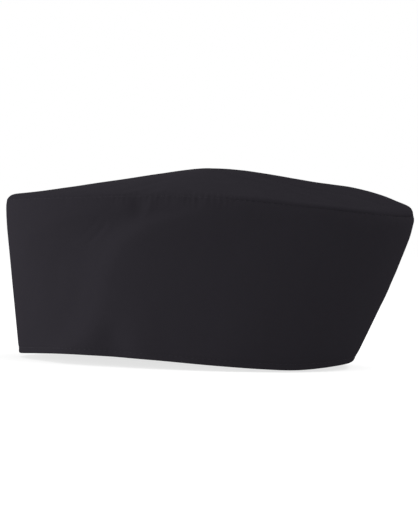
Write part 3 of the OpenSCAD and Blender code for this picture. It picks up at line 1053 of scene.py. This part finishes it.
def dome(r, phi):
    """Share of the crown's height at r (0 middle, 1 seam), shaped by front, side and back."""
    p = from_front(phi)
    peak = (np.sqrt(r * r + 0.01) - 0.1) / 0.905  # a cone with a rounded point
    front = 1 - peak
    side = 1 - 0.8 * peak - 0.2 * r**4
    back = 1 - 0.5 * peak - 0.5 * r**9
    return lerp(lerp(front, side, smooth((p - 20) / 60)), back, smooth((p - 132) / 42))


def tip_relief(x, y):
    """Uneven lie and long folds of the crown."""
    d = 0.55 * noise(x / 44.0 + 9.1, y / 44.0 + 4.2, 31)
    d = d + 0.20 * noise(x / 15.0 + 2.2, y / 21.0, 32)
    d = d + 0.05 * noise(x / 5.0, y / 5.0, 33)
    for *line, width, height in TIP_FOLDS:
        share, across, _ = beside_line(x, y, *line)
        across = across + 2.0 * np.sin(share * 5.0 + line[0])
        tapered = smooth(share * 3 + 0.2) * smooth((1.12 - share) * 3)
        d = d + 0.75 * height * bell(across, width) * tapered
    return d


def tip_z(x, y):
    dx, dy = x - TIP_CENTRE[0], y - TIP_CENTRE[1]
    _, phi, radius = seam_toward(dx, dy)
    r = np.clip(np.hypot(dx, dy) / radius, 0, 1.02)
    inward = (1 - r) * radius  # mm in from the seam
    edge = seam_top(phi) + TIP_EDGE_LIFT
    z = edge + (CROWN_H - edge) * dome(r, phi)
    # a swell inside the seam at the front, a swell past the middle, a dip behind that
    frontness = (1 + np.cos(np.radians(phi))) / 2
    z = z + 1.5 * frontness * (1 - np.exp(-inward / 2.5)) * np.exp(-inward / 30.0)
    z = z + 1.7 * bell(y - 20, 34) * bell(x, 48) - 0.45 * bell(y - 58, 17)
    z = z + tip_relief(x, y) * smooth(inward / 10.0)
    # short gathers where the crown is eased in to the seam
    along = arc(phi)
    for place, _, width, length, depth in PUCKERS:
        q = inward / (length * 1.1)
        grow = smooth(q * 4) * (1 - np.clip(q, 0, 1)) ** 1.5
        z = z + depth * 0.3 * bell(seam_gap(along - (place + 2.2)), width * 1.2) * grow
    beat = 0.5 + 0.5 * np.cos(2 * np.pi * along / STITCH_PITCH)
    z = z - 0.06 * beat * bell(inward, 1.6)
    # the edge turns down in to the seam
    return z - 0.75 * np.exp(-np.clip(inward, 0, None) / 0.9)


def tip_puff(phi, inward):
    """The crown stands up from the seam and rolls a little over it: (rise, outward)."""
    p = from_front(phi)
    back = 0.42 * smooth((p - 82) / 22) + 0.60 * smooth((p - 146) / 24)
    height = 3.1 * back + 1.0 * (1 - smooth((p - 8) / 26))
    rise = height * (1 - np.exp(-inward / 1.1)) * np.exp(-inward / 9.0)
    hang = 0.6 * smooth((p - 84) / 20) * (1 - 0.55 * ends(phi))
    return rise, 2.3 * hang * np.clip(inward / 1.5, 0, None) * np.exp(1 - inward / 1.5)


def crown_tip():
    """A square grid drawn out to the seam's outline, closer together towards the edge."""
    t = np.linspace(-1, 1, TIP_STEPS + 1)
    t = np.sign(t) * (1 - (1 - np.abs(t)) ** 1.12)
    u, v = np.meshgrid(t, t, indexing="ij")
    disc_x = u * np.sqrt(1 - v * v / 2)
    disc_y = v * np.sqrt(1 - u * u / 2)
    bearing, phi, radius = seam_toward(disc_x, disc_y)
    r = np.clip(np.hypot(disc_x, disc_y), 0, 1)
    x = TIP_CENTRE[0] + np.sin(bearing) * r * radius
    y = TIP_CENTRE[1] - np.cos(bearing) * r * radius
    inward = (1 - r) * radius
    rise, over = tip_puff(phi, inward)
    # the edge follows the top of the wall
    follow = wander(phi, 2.0) + 0.6 * ROLL_DEPTH * ends(phi)
    over = over + follow * np.exp(-inward / 5.0)
    n = outward(phi)
    z = tip_z(x, y) + rise - TWILL / 2
    mid = np.stack([x + n[..., 0] * over, y + n[..., 1] * over, z], -1)
    return sheet("crown_tip_cloth", (mid, np.stack([x, y], -1)), TWILL, TWILL_MAT)


mount(crown_tip(), "main", "crown_tip")

# ---------------------------------------------------------------- crown seam allowance
OVERLOCK_LOOPS = 236


def allowance_points(phi, z, off=0.0):
    """The seam allowance hangs inside the wall; z is measured from the seam."""
    ripple = noise(arc(phi) / SEAM_LEN * 60, z / 8.0, 41, 60)
    off = -ROLL_DEPTH - TWILL - 1.35 + 0.35 * ripple * smooth(-z / 6) + off
    points = wall(phi, 1.0, off)
    points[:, 2] = seam_top(phi) + z
    return points


allowance_phi = np.linspace(0, 360, 481)[:-1]
allowance_grid = grid([
    (allowance_points(allowance_phi, z), flat_uv(arc(allowance_phi), z))
    for z in (-1.0, -2.5, -4.0, -5.5, -7.0, -8.0)
])
allowance = sheet("crown_seam_allowance_cloth", allowance_grid, 0.9, LINING_MAT, close_u=True,
                  round_v=LAST)
mount(allowance, "main", "crown_seam_allowance")

# overlock loops round its lower edge
share = np.linspace(0, 1, OVERLOCK_LOOPS * 12, endpoint=False)
turn = share * OVERLOCK_LOOPS * 2 * np.pi
path = allowance_points(
    phi_of_arc(share * SEAM_LEN), -5.6 + 2.6 * np.cos(turn), 0.62 * np.sin(turn)
)
path = np.concatenate([path, path[:1]])
overlock = tubes("overlock_thread", [path], 0.15, THREAD_MAT, sides=6, taper=False)
mount(overlock, "main")


# ---------------------------------------------------------------- stitch rows
def stitch_row(name, which, phi, s, node, off=0.0, inside=False):
    normals = surf_normal(which, phi, s, off)
    points = surf(which, phi, s, off)
    made = stitches(name, points, -normals if inside else normals, THREAD_MAT)
    mount(made, which, node)


stitch_row("crown_topstitches", "main", np.linspace(-176.8, 182.8, 1500), 1.8,
           "crown_topstitch")
stitch_row("rim_topstitches", "main",
           lerp(-142.0, over_root(HEM_S) - 0.6, np.linspace(0, 1, 1200)), HEM_S,
           "rim_topstitch")

edge_s = np.linspace(0.84, 0.045, 160)
share = np.linspace(0, 1, 160)
over_rim_phi = lerp(over_root(HEM_S) + 0.8, over_edge(HEM_S) - 3.4, share)
under_rim_phi = lerp(under_edge(HEM_S) + 4.0, under_root(HEM_S) - 1.0, share)
# (flap, place, phi, s, off, on the inner face)
for which, place, phi, s, off, inside in (
    ("over", "edge", over_tip(edge_s) - 2.1, edge_s, 0.0, False),
    ("over", "rim", over_rim_phi, HEM_S, 0.0, False),
    ("under", "edge", under_tip(edge_s) + 2.4, edge_s, -1.3, True),
    ("under", "rim", under_rim_phi, HEM_S, -2.0, True),
):
    stitch_row(f"{which}_flap_{place}_stitches", which, phi, s, f"{which}_flap_topstitch",
               off, inside)

# ---------------------------------------------------------------- hook and loop tapes
TAPE_LOW, TAPE_H, TAPE_THICK = 5.0, 25.0, 0.35
HOOK_PHI, LOOP_PHI = (177.0, 198.0), (166.5, 190.0)
HOOK_FACE = -2 * TWILL - 0.5  # off of the over flap's inner face
LOOP_FACE = 0.15  # off of the under flap's outer face
HOOK_H, HOOK_ROUND, HOOK_UP = 0.62, 1.25, 1.15  # height, and spacing round and up
# a hook's outline: share of its height, and mm to the side
HOOK_RISE = np.array([-0.16, 0.55, 0.92, 1.0, 0.86, 0.66])
HOOK_SIDE = np.array([0, 0, 0.12, 0.3, 0.45, 0.47])
LOOP_COUNT = 1500


def edge_steps(count):
    """Shares of a width with fine steps at both ends."""
    return np.concatenate([[0, 0.004, 0.012], np.linspace(0.03, 0.97, count), [0.988, 0.996, 1]])


def tape_ground(kind, which, phi_span, off):
    phi = lerp(*phi_span, edge_steps(40))
    made = grid([
        (surf(which, phi, z / WALL_H, off), flat_uv(arc(phi) * LOW_GIRTH, z))
        for z in TAPE_LOW + TAPE_H * edge_steps(30)
    ])
    tape = sheet(f"{kind}_tape_ground", made, TAPE_THICK, TAPE_MAT, round_u=BOTH, round_v=BOTH)
    mount(tape, which, f"{kind}_tape")


def hook_field():
    """Staggered rows of hooks, turned alternately to either side."""
    start, end = arc(HOOK_PHI[0]) * LOW_GIRTH, arc(HOOK_PHI[1]) * LOW_GIRTH
    i, j = np.meshgrid(
        np.arange(int((end - start - 3.2) / HOOK_ROUND)),
        np.arange(int((TAPE_H - 3.0) / HOOK_UP)),
        indexing="ij",
    )
    along = (start + 1.9 + i * HOOK_ROUND).ravel()
    z = (TAPE_LOW + 1.7 + j * HOOK_UP + np.where(i % 2, 0.57, 0.0)).ravel()
    keep = z < TAPE_LOW + TAPE_H - 1.5
    turn = np.where(j.ravel()[keep] % 2, 1.0, -1.0)
    phi, s = phi_of_arc(along[keep] / LOW_GIRTH), z[keep] / WALL_H
    base = surf("over", phi, s, HOOK_FACE - TAPE_THICK)
    n = -surf_normal("over", phi, s, -1.5)
    side = unit(np.cross(n, [0, 0, 1.0])) * turn[:, None]
    paths = (
        base[:, None, :]
        + n[:, None, :] * (HOOK_RISE * HOOK_H)[None, :, None]
        + side[:, None, :] * HOOK_SIDE[None, :, None]
    )
    return tubes("hook_field", paths, 0.085, HOOK_MAT, sides=5)


def loop_field():
    """Small arches scattered over the tape, each turned its own way."""
    rng = np.random.RandomState(5)
    start, end = arc(LOOP_PHI[0]) * LOW_GIRTH, arc(LOOP_PHI[1]) * LOW_GIRTH
    along = rng.uniform(start + 1.4, end - 1.4, LOOP_COUNT)
    z = rng.uniform(TAPE_LOW + 1.3, TAPE_LOW + TAPE_H - 1.3, LOOP_COUNT)
    phi, s = phi_of_arc(along / LOW_GIRTH), z / WALL_H
    base = surf("under", phi, s, LOOP_FACE + TAPE_THICK)
    n = surf_normal("under", phi, s)
    turn = rng.uniform(0, 2 * np.pi, LOOP_COUNT)[:, None]
    level = unit(np.cross(n, [0, 0, 1.0]))
    way = np.cos(turn) * level + np.sin(turn) * np.cross(n, level)
    width = rng.uniform(0.35, 0.8, (LOOP_COUNT, 1, 1))
    height = rng.uniform(0.25, 0.5, (LOOP_COUNT, 1, 1))
    q = np.linspace(0, np.pi, 7)[None, :, None]
    paths = (
        base[:, None, :]
        - np.cos(q) * width / 2 * way[:, None, :]
        + (np.sin(q) * height - 0.06) * n[:, None, :]
    )
    return tubes("loop_field", paths, 0.05, LOOP_MAT, sides=4, taper=False)


def tape_box(kind, which, phi_span, off=0.0, inside=False):
    """Stitches along the four sides of a tape: bottom, top, then its two ends."""
    share = np.linspace(0, 1, 60)
    first, last = phi_span[0] + 1.3, phi_span[1] - 1.3
    low, high = TAPE_LOW + 2.0, TAPE_LOW + TAPE_H - 2.0
    round_phi = lerp(first + 0.5, last - 0.5, share)
    up_s = lerp(low + 0.8, high - 0.8, share) / WALL_H
    sides = [(round_phi, low / WALL_H), (round_phi, high / WALL_H), (first, up_s), (last, up_s)]
    for i, (phi, s) in enumerate(sides):
        stitch_row(f"{kind}_tape_stitches_{i + 1}", which, phi, s, f"{kind}_tape_stitching",
                   off, inside)


tape_ground("hook", "over", HOOK_PHI, HOOK_FACE - TAPE_THICK / 2)
tape_ground("loop", "under", LOOP_PHI, LOOP_FACE + TAPE_THICK / 2)
mount(hook_field(), "over", "hook_tape")
mount(loop_field(), "under", "loop_tape")
tape_box("hook", "over", HOOK_PHI)
tape_box("loop", "under", LOOP_PHI, off=-1.28, inside=True)

# ---------------------------------------------------------------- bar tack
# upright threads side by side over the end of the slit
TACK_COUNT, TACK_SPAN = 22, 3.4  # span in degrees
tack_s = np.linspace(0.958, 0.996, 7)
tack_h = -0.15 + 0.5 * np.sin(np.linspace(0, np.pi, 7)) ** 0.5
paths = []
for i in range(TACK_COUNT):
    phi = SLIT_PHI - TACK_SPAN / 2 + TACK_SPAN * i / (TACK_COUNT - 1)
    if phi > SLIT_PHI:
        phi -= 360
    n = surf_normal("main", phi, tack_s)
    paths.append(surf("main", phi, tack_s) + n * tack_h[:, None])
# its thread colour is painted darker than the other stitching, as painted shade
tack = tubes("slit_bartack_thread", paths, 0.17, TACK_PAINTED_SHADE_MAT)
mount(tack, "main", "slit_bartack")

# ---------------------------------------------------------------- care label
# a woven strip folded at the bottom, inside the wall on the wearer's right
LABEL_PHI, LABEL_Z, LABEL_W, LABEL_L = 262.0, 70.0, 24.0, 34.0
LABEL_OFF = -2.8
LABEL_FOLD = 0.26  # radius of the fold


def even_wall(z):
    """A point inside the even wall, without its wandering, at the label's angle."""
    bulge = seam_xy(LABEL_PHI) + ROLL_DEPTH * outward(LABEL_PHI)
    share = z / (seam_z(LABEL_PHI) - ROLL_H)
    xy = lerp(rim_xy(LABEL_PHI), bulge, share) + LABEL_OFF * outward(LABEL_PHI)
    return np.array([*xy, z])


out_x, out_y = outward(LABEL_PHI)
LABEL_ORIGIN = even_wall(LABEL_Z)
LABEL_ACROSS = np.array([-out_y, out_x, 0.0])
LABEL_IN = np.array([-out_x, -out_y, 0.0])
LABEL_UP = unit(LABEL_ORIGIN - even_wall(LABEL_Z - LABEL_L))


def label_point(across, inward, up):
    across, inward, up = (np.asarray(v)[..., None] for v in (across, inward, up))
    return LABEL_ORIGIN + LABEL_ACROSS * across + LABEL_IN * inward + LABEL_UP * up


def label_profile():
    """(inward, up) down the front leaf, round the fold and up the back leaf."""
    front = [(0.62 + 1.5 * smooth(k) * k, -LABEL_L * k) for k in np.linspace(0, 0.985, 26)]
    inward, up = front[-1]
    fold = [
        (inward - LABEL_FOLD + LABEL_FOLD * math.cos(a), up - LABEL_FOLD * math.sin(a) - 0.1)
        for a in np.radians(np.linspace(0, 180, 9)[1:])
    ]
    back = [(b - 2 * LABEL_FOLD, c) for b, c in front[-2::-1]]
    return np.array(front + fold + back)


label_x = np.linspace(-LABEL_W / 2, LABEL_W / 2, 26)
edge_curl = 0.5 * (label_x / (LABEL_W / 2)) ** 2
profile = label_profile()
leaf_grid = grid([
    (label_point(label_x, b + 0.15 + edge_curl * abs(c) / LABEL_L, c), flat_uv(label_x, run))
    for (b, c), run in zip(profile, path_length(profile))
])
leaf = sheet("care_label_leaf", leaf_grid, 0.2, LABEL_MAT, round_u=BOTH)
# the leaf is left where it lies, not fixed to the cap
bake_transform(leaf)
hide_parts("care_label")

sewn_grid = grid([
    (label_point(label_x, 0.55, up), flat_uv(label_x, up)) for up in np.linspace(0.02, 3.5, 9)
])
sewn_edge = sheet("care_label_sewn_edge", sewn_grid, 0.5, LABEL_MAT, round_u=BOTH, round_v=LAST)
mount(sewn_edge, "main", "care_label_edge")
label_row = stitches("care_label_stitches", label_point(np.linspace(-11.2, 11.2, 60), 0.8, 1.5),
                     np.tile(LABEL_IN, (60, 1)), LABEL_THREAD_MAT)
mount(label_row, "main", "care_label_stitching")

# ---------------------------------------------------------------- floor, light and camera, in m
FLOOR_Z, FLOOR_RADIUS = -0.0020, 9.0
AIM = Vector((0, 0, 0.05))  # lights and camera look here


def add_floor():
    """A wide disc that glows a little, so that it stays pale."""
    bm = bmesh.new()
    bmesh.ops.create_circle(bm, cap_ends=True, segments=96, radius=FLOOR_RADIUS)
    me = bpy.data.meshes.new("floor")
    bm.to_mesh(me)
    bm.free()
    floor = bpy.data.objects.new("floor", me)
    floor.location = (0, 0, FLOOR_Z)
    bpy.context.scene.collection.objects.link(floor)
    g = Shader("floor")
    g.put(g.surface, {
        "Base Color": (0.3, 0.3, 0.3, 1),
        "Roughness": 1.0,
        "Specular IOR Level": 0.0,
        "Emission Color": (1, 1, 1, 1),
        "Emission Strength": 0.74,
    })
    me.materials.append(g.material)


def add_area_light(name, location, size, power):
    light = bpy.data.lights.new(name, "AREA")
    light.shape = "RECTANGLE"
    light.size, light.size_y = size
    light.energy = power
    ob = bpy.data.objects.new(name, light)
    ob.location = location
    ob.rotation_mode = "QUATERNION"
    ob.rotation_quaternion = (AIM - Vector(location)).to_track_quat("-Z", "Y")
    bpy.context.scene.collection.objects.link(ob)


def add_camera(distance, pitch, roll):
    """Looks along -X at the wearer's left side; angles in degrees."""
    data = bpy.data.cameras.new("camera")
    camera = bpy.data.objects.new("camera", data)
    bpy.context.scene.collection.objects.link(camera)
    bpy.context.scene.camera = camera
    pitch, roll = math.radians(pitch), math.radians(roll)
    back = Vector((math.cos(pitch), 0, math.sin(pitch)))
    level = Vector((0, 1, 0))
    upright = back.cross(level)
    right = math.cos(roll) * level + math.sin(roll) * upright
    up = -math.sin(roll) * level + math.cos(roll) * upright
    turned = Matrix((right, up, back)).transposed().to_4x4()
    camera.matrix_world = Matrix.Translation(AIM + back * distance) @ turned
    data.sensor_width = 36.0
    data.lens = 144.784962
    data.shift_x = 0.00212406015
    data.shift_y = 0.00682330827
    data.clip_start, data.clip_end = 0.05, 50


add_floor()

world = bpy.data.worlds.new("world")
world.use_nodes = True
background = world.node_tree.nodes["Background"]
background.inputs["Color"].default_value = (1, 1, 1, 1)
background.inputs["Strength"].default_value = 1.0
bpy.context.scene.world = world

# the key light is in front of the cap, the top light above and behind it
add_area_light("key", location=(0.53, -2.13, 0.26), size=(3.2, 0.5), power=72.0)
add_area_light("top", location=(-0.15, 0.8, 1.75), size=(1.6, 1.6), power=25.0)
add_camera(distance=1.2, pitch=0.9, roll=1.83)

view = bpy.context.scene.view_settings
view.view_transform = "Standard"
view.look = "None"
view.exposure = 0.0
view.gamma = 1.0
